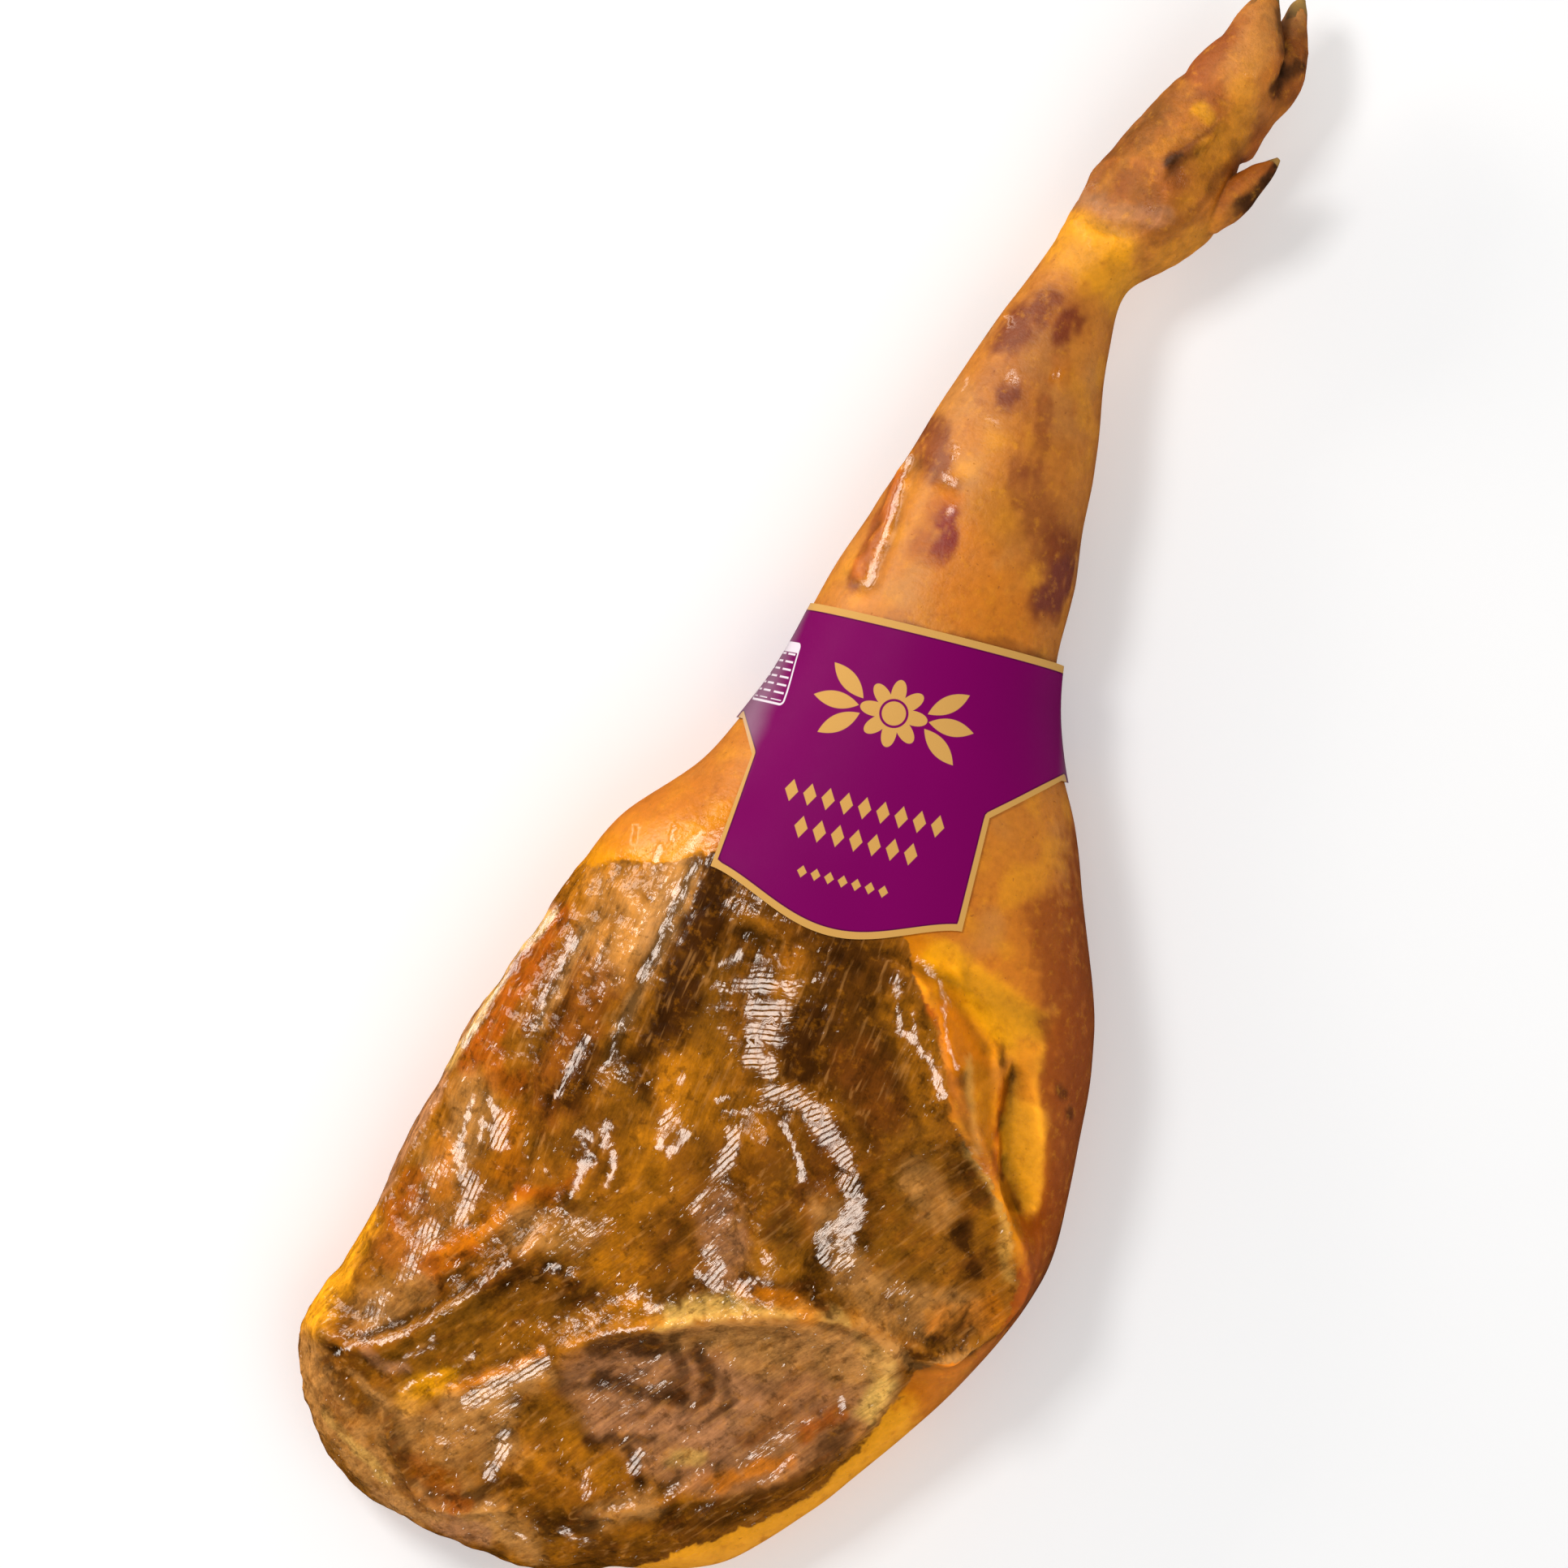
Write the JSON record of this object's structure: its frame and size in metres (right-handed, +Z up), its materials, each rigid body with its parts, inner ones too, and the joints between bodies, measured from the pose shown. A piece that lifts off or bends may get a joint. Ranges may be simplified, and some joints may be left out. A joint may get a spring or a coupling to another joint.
{
  "type": "cured shoulder ham",
  "caption": "Bone-in cured shoulder ham with trotter, lying on its rind with the cut meat side up, and a printed card band round the shank.",
  "frame": {"origin": "on the floor, under the middle of the ham's outline", "axes": "+Y from the butt to the trotter, +Z up out of the cut meat side, +X to the right seen from above with the trotter away"},
  "size_m": [0.2627, 0.6985, 0.0956],
  "materials": {
    "cured_ham": "oily cured meat, orange fat and rind, half gloss",
    "printed_card": "glossy printed card, purple with a gold edge"
  },
  "bodies": {
    "root": {"ham": "cured_ham", "card_band": "printed_card"}
  },
  "joints": []
}
